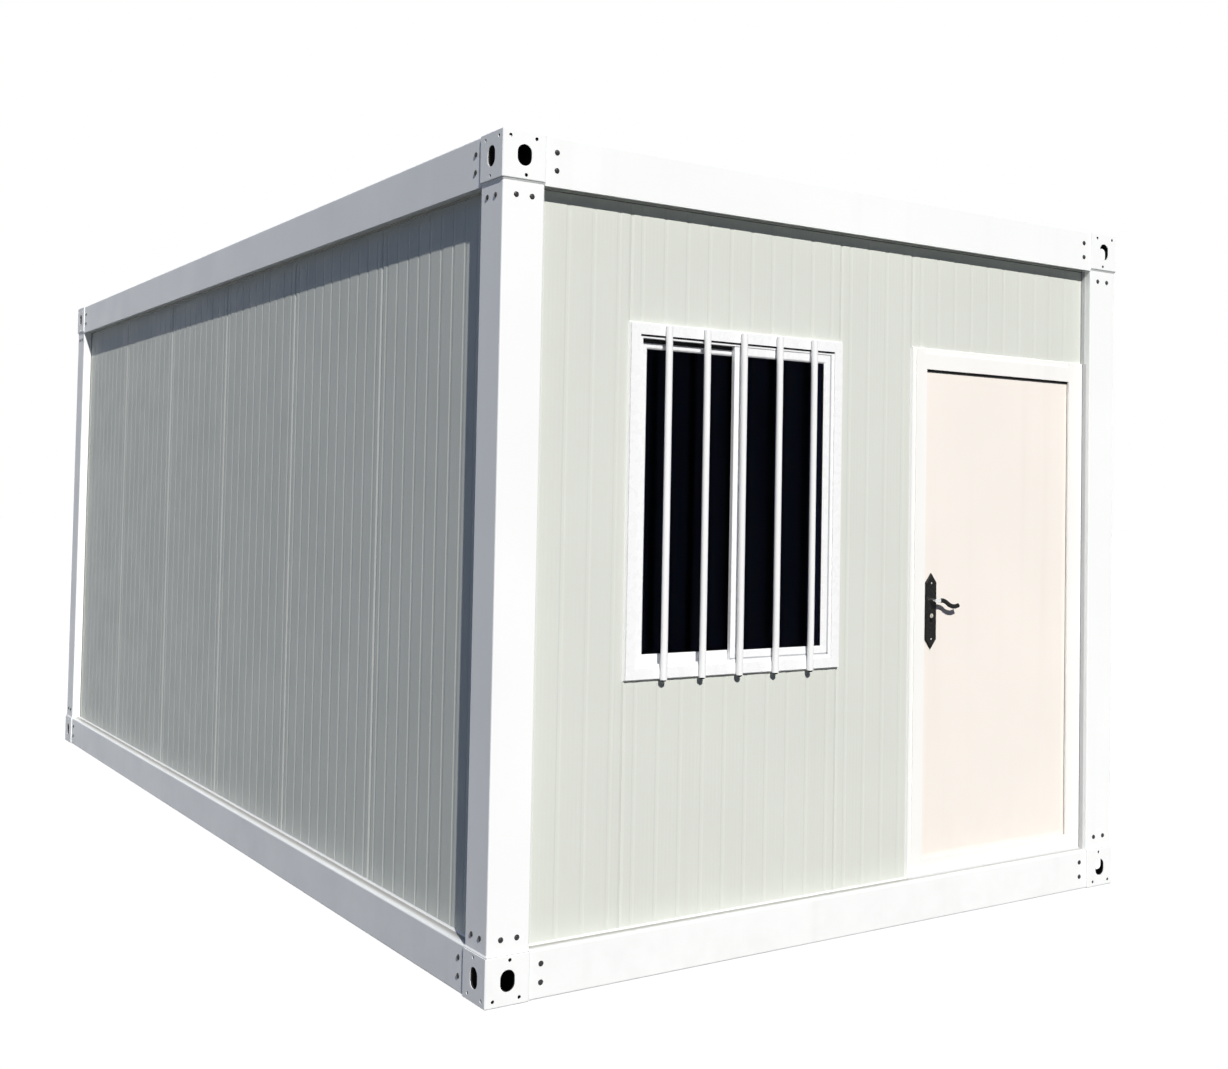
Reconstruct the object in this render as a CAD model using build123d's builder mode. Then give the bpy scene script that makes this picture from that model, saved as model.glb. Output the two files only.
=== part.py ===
from build123d import *
import os

# Prefab container house: a bolted steel frame with corner fittings, sandwich-panel walls,
# an inward-opening door and a barred sliding window in the front.
# Millimetres, +Z up, front towards -Y, origin at the bottom centre of the frame.

os.makedirs("parts", exist_ok=True)

# Overall size over the steel frame
unit_width = 3000.0
unit_length = 5950.0
unit_height = 2800.0

# Corner fittings: hollow welded boxes with lifting slots and small coupling holes
fitting_size = 160.0
fitting_wall = 8.0
fitting_edge_chamfer = 3.0
fitting_proud = 6.0
slot_width = 52.0
slot_length = 70.0
coupling_hole_diameter = 12.0
coupling_hole_spacing = 95.0
coupling_hole_edge = 28.0
coupling_hole_end = 22.0
single_hole_edge = 87.0
single_hole_end = 16.0

# Folded steel frame
steel = 3.0
bend_radius = 6.0
wall_recess = 55.0
drip_lip = 8.0
bottom_flange = 80.0
bottom_flange_lip = 16.0
top_flange = 70.0
top_flange_lip = 25.0

# Sandwich wall panels with shallow ribs and tongue-and-groove edges
panel_thickness = 75.0
side_panel_count = 6
rear_panel_count = 3
rib_pitch = 95.0
rib_groove_width = 20.0
rib_groove_angle = 12.0
rib_groove_depth = 1.2
panel_joint = 0.5
panel_edge_slope = 11.0
tongue_depth = 15.0
tongue_thickness = 25.0
tongue_clearance = 0.5

# Floor and roof
floor_thickness = 18.0
floor_edge_gap = 2.0
joist_height = 120.0
joist_flange = 50.0
joist_count = 9
ceiling_thickness = 8.0
ceiling_bearing = 20.0
purlin_height = 100.0
purlin_flange = 40.0
purlin_count = 7
roof_thickness = 2.0
roof_edge_gap = 2.0
seam_height = 30.0
seam_width = 6.0
seam_count = 11
corner_gap = 2.0

# Front wall bays, as shares of the clear width between the posts' inner faces
front_left_panel_share = 0.146
window_width_share = 0.346
door_bay_share = 0.3737
# Openings in the front wall, as shares of the wall's height
window_sill_share = 0.338
window_height_share = 0.4927
door_top_share = 0.8347

# Sliding window
window_proud = 12.0
window_face = 38.0
window_step = 5.0
window_lip = 12.0
window_lip_thickness = 2.0
track_width = 18.0
track_depth = 12.0
track_rib = 2.0
sash_clearance = 1.0
sash_overlap = 58.0
sash_stile = 38.0
sash_rail = 38.0
glass_thickness = 5.0
glass_rebate = 8.0
glass_clearance = 0.5
bar_count = 5
bar_diameter = 25.0
bar_wall = 2.0
bar_flat = 1.0
bar_pitch_share = 0.172
bar_top_inset = 4.0
bar_bottom_drop = 4.0

# Door frame and leaf
door_frame_proud = 10.0
door_flange_width = 18.0
door_flange_step = 4.0
door_left_face = 74.0
door_right_face = 118.0
door_head_face = 80.0
threshold_height = 67.0
stop_thickness = 8.0
stop_lap = 14.0
leaf_gap = 8.0
seal_gap = 5.0
leaf_thickness = 50.0
leaf_edge_radius = 2.0

# Hinges
hinge_count = 3
hinge_end_distance = 250.0
barrel_radius = 8.0
barrel_length = 50.0
barrel_gap = 1.0
hinge_pin_radius = 5.0
hinge_pin_length = 44.0
pin_clearance = 0.1
hinge_plate_thickness = 3.0
hinge_plate_width = 38.0

# Handle and lock
handle_backset = 56.0
spindle_level = 1236.0
plate_width = 58.0
plate_length = 300.0
plate_drop = 43.0
plate_thickness = 8.0
plate_point = 38.0
plate_bevel = 3.0
neck_radius = 9.0
lever_standoff = 34.0
lever_height = 18.0
lever_depth = 11.0
lever_straight = 26.0
lever_curve_radius = 60.0
lever_droop_angle = 38.0
lever_rise_angle = 63.0
lever_tip_radius = 3.0
spindle_size = 8.0
spindle_insert = 22.0
spindle_hole_radius = 11.0
spindle_clearance = 0.1
lock_drop = 61.0
lock_radius = 8.5
lock_stem_width = 10.0
lock_stem_length = 24.0
lock_proud = 2.0
lock_clearance = 0.2

# Places worked out from those sizes
half_width = unit_width / 2
half_length = unit_length / 2
wall_inner = wall_recess + panel_thickness
inside_bend = bend_radius - steel
panel_edge_depth = inside_bend
top_fitting_level = unit_height - fitting_size
wall_height = unit_height - 2 * fitting_size
front_clear = half_width - wall_inner
side_clear = half_length - wall_inner
front_y = -half_length

clear_width = 2 * front_clear
window_width = window_width_share * clear_width
window_height = window_height_share * wall_height
window_left = -front_clear + front_left_panel_share * clear_width
window_right = window_left + window_width
window_mid = (window_left + window_right) / 2
window_sill_level = fitting_size + window_sill_share * wall_height
window_top_level = window_sill_level + window_height
window_face_y = front_y + wall_recess - window_proud
window_inner_y = front_y + wall_inner

door_right = front_clear
door_left = door_right - door_bay_share * clear_width
door_top_level = fitting_size + door_top_share * wall_height
door_face_y = front_y + wall_recess - door_frame_proud
stop_back_y = door_face_y + stop_thickness
leaf_outer_y = stop_back_y + seal_gap
leaf_inner_y = leaf_outer_y + leaf_thickness
stop_left = door_left + door_left_face
stop_right = door_right - door_right_face
stop_top = door_top_level - door_head_face
stop_bottom = fitting_size + threshold_height
leaf_left = stop_left - stop_lap
leaf_right = stop_right + stop_lap
leaf_top = stop_top + stop_lap
leaf_bottom = stop_bottom - stop_lap
rebate_left = leaf_left - leaf_gap
rebate_right = leaf_right + leaf_gap
rebate_top = leaf_top + leaf_gap
rebate_bottom = leaf_bottom - leaf_gap

hinge_x = leaf_right + leaf_gap / 2
hinge_y = leaf_inner_y + barrel_radius
handle_x = leaf_left + handle_backset
lock_level = spindle_level - lock_drop
plate_mid_level = spindle_level - plate_drop


def save(builder, name):
    """Label a finished piece and write it as a STEP file of its own."""
    builder.part.label = name
    export_step(builder.part, f"parts/{name}.step")


def upright_plane(x, y, z):
    """Plane parallel to the front wall: local x to the right, local y up, normal outwards."""
    return Plane((x, y, z), x_dir=(1, 0, 0), z_dir=(0, -1, 0))


# Beam planes: local x runs inwards from the outer face, local y up, normal along the beam
beam_planes = {
    "front": Plane((0, -half_length, 0), x_dir=(0, 1, 0), z_dir=(1, 0, 0)),
    "rear": Plane((0, half_length, 0), x_dir=(0, -1, 0), z_dir=(-1, 0, 0)),
    "left": Plane((-half_width, 0, 0), x_dir=(1, 0, 0), z_dir=(0, -1, 0)),
    "right": Plane((half_width, 0, 0), x_dir=(-1, 0, 0), z_dir=(0, 1, 0)),
}
# Wall planes, level with the beam tops: local x along the wall, local y inwards
wall_planes = {
    "front": Plane((0, -half_length, fitting_size), x_dir=(1, 0, 0), z_dir=(0, 0, 1)),
    "rear": Plane((0, half_length, fitting_size), x_dir=(-1, 0, 0), z_dir=(0, 0, 1)),
    "left": Plane((-half_width, 0, fitting_size), x_dir=(0, -1, 0), z_dir=(0, 0, 1)),
    "right": Plane((half_width, 0, fitting_size), x_dir=(0, 1, 0), z_dir=(0, 0, 1)),
}


def side_span(side):
    """Clear length between the corner fittings of one side."""
    return (unit_width if side in ("front", "rear") else unit_length) - 2 * fitting_size


def fitting_holes(pair_level, single_level):
    """Lifting slot with a pair of coupling holes beyond it and a single one towards the post."""
    with Locations((fitting_size / 2, fitting_size / 2)):
        SlotOverall(slot_length, slot_width, rotation=90)
    pair_end = coupling_hole_edge + coupling_hole_spacing
    with Locations(
        (coupling_hole_edge, pair_level), (pair_end, pair_level), (single_hole_edge, single_level)
    ):
        Circle(coupling_hole_diameter / 2)


def corner_fittings(name, level, free_level, pair_level, single_level):
    """Four hollow boxes, open through slots and holes in their two outer sides and free end."""
    corner = (-half_width, -half_length)
    inner = fitting_size - 2 * fitting_wall
    with BuildPart() as fittings:
        with Locations((corner[0] + fitting_size / 2, corner[1] + fitting_size / 2, level + fitting_size / 2)):
            Box(fitting_size, fitting_size, fitting_size)
            chamfer(fittings.edges(), length=fitting_edge_chamfer)
            Box(inner, inner, inner, mode=Mode.SUBTRACT)
        front_face = Plane((*corner, level), x_dir=(1, 0, 0), z_dir=(0, -1, 0))
        side_face = Plane((*corner, level), x_dir=(0, 1, 0), z_dir=(1, 0, 0))
        for face in (front_face, side_face):
            with BuildSketch(face):
                fitting_holes(pair_level, single_level)
            extrude(amount=fitting_wall, both=True, mode=Mode.SUBTRACT)
        with BuildSketch(Plane((*corner, free_level))):
            with Locations((fitting_size / 2, fitting_size / 2)):
                SlotOverall(slot_length, slot_width)
        extrude(amount=fitting_wall, both=True, mode=Mode.SUBTRACT)
        mirror(about=Plane.YZ)
        mirror(about=Plane.XZ)
    save(fittings, name)


corner_fittings(
    "bottom_corner_fittings", 0, 0, coupling_hole_end, fitting_size - single_hole_end
)
corner_fittings(
    "top_corner_fittings", top_fitting_level, unit_height, fitting_size - coupling_hole_end, single_hole_end
)


def corner_post(name, side_x, side_y):
    """Folded post, hollow, stepped so that the wall panels tuck in behind its outer faces."""
    steps = [
        (fitting_proud, fitting_proud),
        (fitting_size, fitting_proud),
        (fitting_size, wall_recess),
        (wall_inner, wall_recess),
        (wall_inner, wall_inner),
        (wall_recess, wall_inner),
        (wall_recess, fitting_size),
        (fitting_proud, fitting_size),
    ]
    corners = [(side_x * (half_width - u), side_y * (half_length - v)) for u, v in steps]
    tucks = [(wall_inner, wall_recess), (wall_recess, wall_inner)]
    radii = [inside_bend if step in tucks else bend_radius for step in steps]
    with BuildPart() as post:
        with BuildSketch(Plane.XY.offset(fitting_size)):
            with BuildLine():
                FilletPolyline(*corners, radius=radii, close=True)
            make_face()
            offset(amount=-steel, mode=Mode.SUBTRACT)
        extrude(amount=wall_height)
    save(post, name)


corner_post("front_left_post", -1, -1)
corner_post("front_right_post", 1, -1)
corner_post("rear_left_post", -1, 1)
corner_post("rear_right_post", 1, 1)


def folded_beam(name, side, fold_line, fold_side, lip=0):
    """Cold-formed beam: a folded strip of steel between the fittings, with a drip lip if it has one."""
    with BuildPart() as beam:
        with BuildSketch(beam_planes[side]):
            with BuildLine():
                FilletPolyline(*fold_line, radius=bend_radius)
                offset(amount=steel, side=fold_side)
            make_face()
            if lip:
                with Locations((fitting_proud, top_fitting_level - lip)):
                    Rectangle(steel, lip + bend_radius, align=Align.MIN)
        extrude(amount=side_span(side) / 2, both=True)
    save(beam, name)


bottom_fold_line = [
    (bottom_flange, bottom_flange_lip),
    (bottom_flange, 0),
    (fitting_proud, 0),
    (fitting_proud, fitting_size),
    (wall_inner, fitting_size),
]
top_fold_line = [
    (top_flange, unit_height - top_flange_lip),
    (top_flange, unit_height),
    (fitting_proud, unit_height),
    (fitting_proud, top_fitting_level),
    (wall_inner, top_fitting_level),
]
for side in beam_planes:
    folded_beam(f"bottom_{side}_beam", side, bottom_fold_line, Side.RIGHT)
    folded_beam(f"top_{side}_beam", side, top_fold_line, Side.LEFT, drip_lip)


def even_places(count, first, last):
    """Evenly spaced places from first to last."""
    step = (last - first) / (count - 1)
    return [first + step * i for i in range(count)]


def channel_row(name, count, level, height, flange):
    """Row of channels laid across the unit from web to web of the side beams."""
    reach = half_width - fitting_proud - steel
    end = half_length - fitting_size - flange
    with BuildPart() as channels:
        for y in even_places(count, -end, end):
            section = Plane((-reach, y - flange / 2, level), x_dir=(0, 1, 0), z_dir=(1, 0, 0))
            with BuildSketch(section):
                Rectangle(flange, height, align=Align.MIN)
                with Locations((steel, steel)):
                    Rectangle(flange, height - 2 * steel, align=Align.MIN, mode=Mode.SUBTRACT)
            extrude(amount=2 * reach)
    save(channels, name)


def notched_board(half_x, half_y):
    """Board outline with its corners cut out around the corner fittings."""
    Rectangle(2 * half_x, 2 * half_y)
    notch_x = half_x - (half_width - fitting_size - corner_gap)
    notch_y = half_y - (half_length - fitting_size - corner_gap)
    with GridLocations(2 * half_x - notch_x, 2 * half_y - notch_y, 2, 2):
        Rectangle(notch_x, notch_y, mode=Mode.SUBTRACT)


floor_underside = fitting_size - floor_thickness
channel_row("floor_joists", joist_count, floor_underside - joist_height, joist_height, joist_flange)

with BuildPart() as floor_board:
    with BuildSketch(Plane.XY.offset(floor_underside)):
        notched_board(front_clear - floor_edge_gap, side_clear - floor_edge_gap)
    extrude(amount=floor_thickness)
save(floor_board, "floor_board")

ceiling_level = top_fitting_level + steel
purlin_level = ceiling_level + ceiling_thickness
roof_level = purlin_level + purlin_height

with BuildPart() as ceiling_panel:
    with BuildSketch(Plane.XY.offset(ceiling_level)):
        notched_board(front_clear + ceiling_bearing, side_clear + ceiling_bearing)
    extrude(amount=ceiling_thickness)
save(ceiling_panel, "ceiling_panel")

channel_row("roof_purlins", purlin_count, purlin_level, purlin_height, purlin_flange)

roof_half_x = half_width - top_flange - roof_edge_gap
roof_half_y = half_length - top_flange - roof_edge_gap
seam_reach = half_width - fitting_size - corner_gap
with BuildPart() as roof_sheet:
    with BuildSketch(Plane.XY.offset(roof_level)):
        notched_board(roof_half_x, roof_half_y)
    extrude(amount=roof_thickness)
    seam_end = half_length - fitting_size - corner_gap - seam_width
    with BuildSketch(Plane.XY.offset(roof_level)):
        for y in even_places(seam_count, -seam_end, seam_end):
            with Locations((0, y)):
                Rectangle(2 * seam_reach, seam_width)
    extrude(amount=seam_height)
save(roof_sheet, "roof_sheet")


def panel_section(start, end, groove=False, tongue=False):
    """Plan of one panel along the wall: ribbed outer face, plain or tongue-and-groove edges."""
    outer, inner, mid = wall_recess, wall_inner, wall_recess + panel_thickness / 2
    left, right = start + panel_joint / 2, end - panel_joint / 2
    ribs = max(round((end - start) / rib_pitch), 1)
    spacing = (end - start) / ribs
    with BuildSketch() as section:
        with BuildLine():
            Polyline(
                (left, outer + panel_edge_depth),
                (left + panel_edge_slope, outer),
                (right - panel_edge_slope, outer),
                (right, outer + panel_edge_depth),
                (right, inner),
                (left, inner),
                close=True,
            )
        make_face()
        with Locations(((start + end) / 2, outer)):
            with GridLocations(spacing, spacing, ribs, 1):
                Trapezoid(
                    rib_groove_width, rib_groove_depth, rib_groove_angle,
                    align=(Align.CENTER, Align.MIN), mode=Mode.SUBTRACT,
                )
        if tongue:
            with Locations((right, mid)):
                Rectangle(tongue_depth, tongue_thickness, align=(Align.MIN, Align.CENTER))
        if groove:
            depth = tongue_depth + tongue_clearance
            width = tongue_thickness + 2 * tongue_clearance
            with Locations((left, mid)):
                Rectangle(depth, width, align=(Align.MIN, Align.CENTER), mode=Mode.SUBTRACT)
    return section.sketch


def plain_wall(name, side, count, half_clear):
    """Wall of equal panels, from post to post and from beam to beam."""
    width = 2 * half_clear / count
    starts = [-half_clear + width * i for i in range(count)]
    sections = [
        panel_section(start, start + width, start > starts[0], start < starts[-1]) for start in starts
    ]
    with BuildPart() as wall:
        for section in sections:
            with BuildSketch(wall_planes[side]):
                add(section)
            extrude(amount=wall_height)
    save(wall, name)


plain_wall("left_wall_panels", "left", side_panel_count, side_clear)
plain_wall("right_wall_panels", "right", side_panel_count, side_clear)
plain_wall("rear_wall_panels", "rear", rear_panel_count, front_clear)


def front_panel(name, start, end, bottom, top):
    """Square-edged panel of the front wall between two places and two levels."""
    section = panel_section(start, end)
    with BuildPart() as panel:
        with BuildSketch(wall_planes["front"].offset(bottom - fitting_size)):
            add(section)
        extrude(amount=top - bottom)
    save(panel, name)


front_panel("front_left_panel", -front_clear, window_left, fitting_size, top_fitting_level)
front_panel("window_apron_panel", window_left, window_right, fitting_size, window_sill_level)
front_panel("window_head_panel", window_left, window_right, window_top_level, top_fitting_level)
front_panel("front_middle_panel", window_right, door_left, fitting_size, top_fitting_level)
front_panel("door_head_panel", door_left, door_right, door_top_level, top_fitting_level)

# Window frame: a ring with a stepped face and two sash tracks, one behind the other
window_plane = upright_plane(window_mid, window_face_y, window_sill_level + window_height / 2)
window_depth = window_inner_y - window_face_y
step_width = window_width - 2 * window_face
step_height = window_height - 2 * window_face
opening_width = step_width - 2 * window_lip
opening_height = step_height - 2 * window_lip
first_track = window_step + window_lip_thickness
track_starts = [first_track, first_track + track_width + track_rib]

with BuildPart() as window_frame:
    with BuildSketch(window_plane):
        Rectangle(window_width - panel_joint, window_height - panel_joint)
        Rectangle(opening_width, opening_height, mode=Mode.SUBTRACT)
    extrude(amount=-window_depth)
    with BuildSketch(window_plane):
        Rectangle(step_width, step_height)
    extrude(amount=-window_step, mode=Mode.SUBTRACT)
    for start in track_starts:
        with BuildSketch(window_plane.offset(-start)):
            Rectangle(opening_width + 2 * track_depth, opening_height + 2 * track_depth)
        extrude(amount=-track_width, mode=Mode.SUBTRACT)
save(window_frame, "window_frame")

sash_height = opening_height + 2 * track_depth - 2 * sash_clearance
sash_width = opening_width / 2 + track_depth - sash_clearance + sash_overlap / 2
sash_thickness = track_width - 2 * sash_clearance
sash_offset = (opening_width + 2 * track_depth - 2 * sash_clearance - sash_width) / 2
pane_width = sash_width - 2 * sash_stile
pane_height = sash_height - 2 * sash_rail
glass_width = pane_width + 2 * (glass_rebate - glass_clearance)
glass_height = pane_height + 2 * (glass_rebate - glass_clearance)
glass_slot = glass_thickness + 2 * glass_clearance
# The sashes stand on the floor of their tracks, with all the clearance above them
sashes = {
    "window_right_sash": (sash_offset, track_starts[0] + sash_clearance),
    "window_left_sash": (-sash_offset, track_starts[1] + sash_clearance),
}

for name, (shift, depth) in sashes.items():
    sash_face = window_plane.offset(-depth)
    with BuildPart() as sash:
        with BuildSketch(sash_face):
            with Locations((shift, -sash_clearance)):
                Rectangle(sash_width, sash_height)
                Rectangle(pane_width, pane_height, mode=Mode.SUBTRACT)
        extrude(amount=-sash_thickness)
        with BuildSketch(sash_face.offset(-(sash_thickness - glass_slot) / 2)):
            with Locations((shift, -sash_clearance)):
                Rectangle(pane_width + 2 * glass_rebate, pane_height + 2 * glass_rebate)
        extrude(amount=-glass_slot, mode=Mode.SUBTRACT)
    save(sash, name)

with BuildPart() as window_glass:
    for shift, depth in sashes.values():
        with BuildSketch(window_plane.offset(-depth - (sash_thickness - glass_thickness) / 2)):
            with Locations((shift, -sash_clearance)):
                Rectangle(glass_width, glass_height)
        extrude(amount=-glass_thickness)
save(window_glass, "window_glass")

# Security bars: round tubes with a narrow flat where they seat on the window frame
bar_bottom = window_sill_level - bar_bottom_drop
bar_height = window_top_level - bar_top_inset - bar_bottom
bar_seat = bar_diameter / 2 - bar_flat
bar_pitch = bar_pitch_share * window_width
first_bar = window_mid - bar_pitch * (bar_count - 1) / 2
with BuildPart() as window_bars:
    with BuildSketch(Plane((0, window_face_y, bar_bottom))):
        for i in range(bar_count):
            with Locations((first_bar + bar_pitch * i, -bar_seat)):
                Circle(bar_diameter / 2)
        with Locations((window_mid, 0)):
            Rectangle(window_width, bar_diameter, align=(Align.CENTER, Align.MIN), mode=Mode.SUBTRACT)
        for i in range(bar_count):
            with Locations((first_bar + bar_pitch * i, -bar_seat)):
                Circle(bar_diameter / 2 - bar_wall, mode=Mode.SUBTRACT)
    extrude(amount=bar_height)
save(window_bars, "window_bars")

# Door frame: two jambs, a head and a threshold, rebated on the inside for the leaf
door_flange_y = door_face_y + door_flange_step
door_frame_bottom = Plane.XY.offset(fitting_size)
door_frame_height = door_top_level - fitting_size

with BuildPart() as door_left_jamb:
    with BuildSketch(door_frame_bottom):
        with BuildLine():
            Polyline(
                (door_left, door_flange_y),
                (door_left + door_flange_width, door_flange_y),
                (door_left + door_flange_width, door_face_y),
                (stop_left, door_face_y),
                (stop_left, stop_back_y),
                (rebate_left, stop_back_y),
                (rebate_left, leaf_inner_y),
                (door_left, leaf_inner_y),
                close=True,
            )
        make_face()
    extrude(amount=door_frame_height)
save(door_left_jamb, "door_left_jamb")

post_edge = half_width - fitting_size
with BuildPart() as door_right_jamb:
    with BuildSketch(door_frame_bottom):
        with BuildLine():
            Polyline(
                (stop_right, door_face_y),
                (post_edge - panel_joint, door_face_y),
                (post_edge - panel_joint, front_y + wall_recess + panel_joint),
                (door_right - panel_joint - inside_bend, front_y + wall_recess + panel_joint),
                (door_right - panel_joint, front_y + wall_recess + panel_joint + inside_bend),
                (door_right - panel_joint, leaf_inner_y),
                (rebate_right, leaf_inner_y),
                (rebate_right, stop_back_y),
                (stop_right, stop_back_y),
                close=True,
            )
        make_face()
    extrude(amount=door_frame_height)
save(door_right_jamb, "door_right_jamb")

# Upright section of the head, looking along the front: local x inwards, local y up
head_section = Plane((rebate_left, 0, 0), x_dir=(0, 1, 0), z_dir=(1, 0, 0))
stop_section = Plane((stop_left, 0, 0), x_dir=(0, 1, 0), z_dir=(1, 0, 0))
rebate_span = rebate_right - rebate_left
stop_span = stop_right - stop_left

with BuildPart() as door_head:
    with BuildSketch(head_section):
        with Locations((stop_back_y, rebate_top)):
            Rectangle(leaf_inner_y - stop_back_y, door_top_level - rebate_top, align=Align.MIN)
    extrude(amount=rebate_span)
    with BuildSketch(stop_section):
        with BuildLine():
            Polyline(
                (door_face_y, stop_top),
                (stop_back_y, stop_top),
                (stop_back_y, door_top_level),
                (door_flange_y, door_top_level),
                (door_flange_y, door_top_level - door_flange_width),
                (door_face_y, door_top_level - door_flange_width),
                close=True,
            )
        make_face()
    extrude(amount=stop_span)
save(door_head, "door_head")

with BuildPart() as door_threshold:
    with BuildSketch(head_section):
        with Locations((stop_back_y, fitting_size)):
            Rectangle(leaf_inner_y - stop_back_y, rebate_bottom - fitting_size, align=Align.MIN)
    extrude(amount=rebate_span)
    with BuildSketch(stop_section):
        with Locations((door_face_y, fitting_size)):
            Rectangle(stop_thickness, threshold_height, align=Align.MIN)
    extrude(amount=stop_span)
save(door_threshold, "door_threshold")


def lock_outline(clearance=0):
    """Profile of the lock cylinder: a round barrel with a narrow stem below it."""
    drop = lock_level - spindle_level
    with Locations((0, drop)):
        Circle(lock_radius + clearance)
        stem_width = lock_stem_width + 2 * clearance
        Rectangle(stem_width, lock_stem_length + clearance, align=(Align.CENTER, Align.MAX))


leaf_width = leaf_right - leaf_left
leaf_height = leaf_top - leaf_bottom
with BuildPart() as door_leaf:
    with BuildSketch(upright_plane(leaf_left + leaf_width / 2, leaf_outer_y, leaf_bottom + leaf_height / 2)):
        Rectangle(leaf_width, leaf_height)
    extrude(amount=-leaf_thickness)
    fillet(door_leaf.edges().filter_by(Axis.Z), radius=leaf_edge_radius)
    with BuildSketch(upright_plane(handle_x, leaf_outer_y, spindle_level)):
        Circle(spindle_hole_radius)
        lock_outline(lock_clearance)
    extrude(amount=-leaf_thickness, mode=Mode.SUBTRACT)
save(door_leaf, "door_leaf")

# Lift-off hinges: the frame half carries the pin, the leaf half drops over it
hinge_height = 2 * barrel_length + barrel_gap
hinge_levels = even_places(
    hinge_count, leaf_bottom + hinge_end_distance, leaf_top - hinge_end_distance - hinge_height
)
hinge_places = [(hinge_x, hinge_y, z) for z in hinge_levels]
plate_end = barrel_radius + barrel_gap
frame_plate_x = leaf_gap / 2 - hinge_plate_thickness
upper_barrel = barrel_length + barrel_gap

with BuildPart() as door_frame_hinges:
    with Locations(*hinge_places):
        Cylinder(barrel_radius, barrel_length, align=(Align.CENTER, Align.CENTER, Align.MIN))
        with Locations((0, 0, barrel_length)):
            Cylinder(
                hinge_pin_radius, hinge_pin_length, align=(Align.CENTER, Align.CENTER, Align.MIN)
            )
        with Locations((frame_plate_x, -plate_end, 0)):
            Box(
                hinge_plate_thickness, hinge_plate_width, hinge_height,
                align=(Align.MIN, Align.MAX, Align.MIN),
            )
            Box(
                hinge_plate_thickness, plate_end, barrel_length,
                align=(Align.MIN, Align.MIN, Align.MIN),
            )
save(door_frame_hinges, "door_frame_hinges")

with BuildPart() as door_leaf_hinges:
    with Locations(*hinge_places):
        with Locations((0, 0, upper_barrel)):
            Cylinder(barrel_radius, barrel_length, align=(Align.CENTER, Align.CENTER, Align.MIN))
        with Locations((-frame_plate_x, -plate_end, 0)):
            Box(
                hinge_plate_thickness, hinge_plate_width, hinge_height,
                align=(Align.MAX, Align.MAX, Align.MIN),
            )
            with Locations((0, 0, upper_barrel)):
                Box(
                    hinge_plate_thickness, plate_end, barrel_length,
                    align=(Align.MAX, Align.MIN, Align.MIN),
                )
        with Locations((0, 0, upper_barrel)):
            Cylinder(
                hinge_pin_radius + pin_clearance, hinge_pin_length,
                align=(Align.CENTER, Align.CENTER, Align.MIN), mode=Mode.SUBTRACT,
            )
save(door_leaf_hinges, "door_leaf_hinges")

# Handle plates with pointed ends, one on each face of the leaf
plate_half_width = plate_width / 2
plate_half_length = plate_length / 2
plate_shoulder = plate_half_length - plate_point
with BuildPart() as door_handle_plates:
    for plate_back_y, outwards, outermost in ((leaf_outer_y, 1, 0), (leaf_inner_y, -1, -1)):
        with BuildSketch(upright_plane(handle_x, plate_back_y, plate_mid_level)):
            with BuildLine():
                Polyline(
                    (0, plate_half_length),
                    (plate_half_width, plate_shoulder),
                    (plate_half_width, -plate_shoulder),
                    (0, -plate_half_length),
                    (-plate_half_width, -plate_shoulder),
                    (-plate_half_width, plate_shoulder),
                    close=True,
                )
            make_face()
        extrude(amount=outwards * plate_thickness)
        chamfer(door_handle_plates.faces().sort_by(Axis.Y)[outermost].edges(), length=plate_bevel)
        with BuildSketch(upright_plane(handle_x, plate_back_y, spindle_level)):
            Circle(neck_radius + pin_clearance)
            lock_outline(lock_clearance)
        extrude(amount=outwards * plate_thickness, mode=Mode.SUBTRACT)
save(door_handle_plates, "door_handle_plates")

lock_front_y = leaf_outer_y - plate_thickness - lock_proud
lock_length = leaf_thickness + 2 * (plate_thickness + lock_proud)
with BuildPart() as lock_cylinder:
    with BuildSketch(upright_plane(handle_x, lock_front_y, spindle_level)):
        lock_outline()
    extrude(amount=-lock_length)
save(lock_cylinder, "lock_cylinder")


def door_lever(name, face_y, outwards, spindle_side, spindle_length, spindle_mode):
    """Neck standing off the leaf, with a wavy grip that droops and lifts again towards its tip."""
    grip_y = face_y - outwards * lever_standoff
    with BuildPart() as lever:
        with BuildSketch(upright_plane(handle_x, face_y, spindle_level)):
            Circle(neck_radius)
        extrude(amount=outwards * (lever_standoff + lever_depth / 2))
        with BuildLine(upright_plane(handle_x, grip_y, spindle_level)) as grip:
            run = Line((0, 0), (lever_straight, 0))
            droop = JernArc(run @ 1, run % 1, lever_curve_radius, -lever_droop_angle)
            JernArc(droop @ 1, droop % 1, lever_curve_radius, lever_rise_angle)
        with BuildSketch(Plane((handle_x, grip_y, spindle_level), x_dir=(0, 1, 0), z_dir=(1, 0, 0))):
            Ellipse(lever_depth / 2, lever_height / 2)
        sweep(path=grip.wires()[0])
        fillet(lever.faces().sort_by(Axis.X)[-1].edges(), radius=lever_tip_radius)
        with BuildSketch(upright_plane(handle_x, face_y, spindle_level)):
            Rectangle(spindle_side, spindle_side)
        extrude(amount=spindle_length, mode=spindle_mode)
    save(lever, name)


socket_side = spindle_size + 2 * spindle_clearance
socket_depth = spindle_insert + spindle_clearance
spindle_reach = leaf_thickness + spindle_insert
door_lever("outer_lever", leaf_outer_y, 1, socket_side, socket_depth, Mode.SUBTRACT)
door_lever("inner_lever", leaf_inner_y, -1, spindle_size, spindle_reach, Mode.ADD)
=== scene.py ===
"""Finishes, fasteners, seals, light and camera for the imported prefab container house.

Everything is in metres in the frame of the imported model: front towards -Y, +Z up.
"""

import itertools
import math

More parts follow.
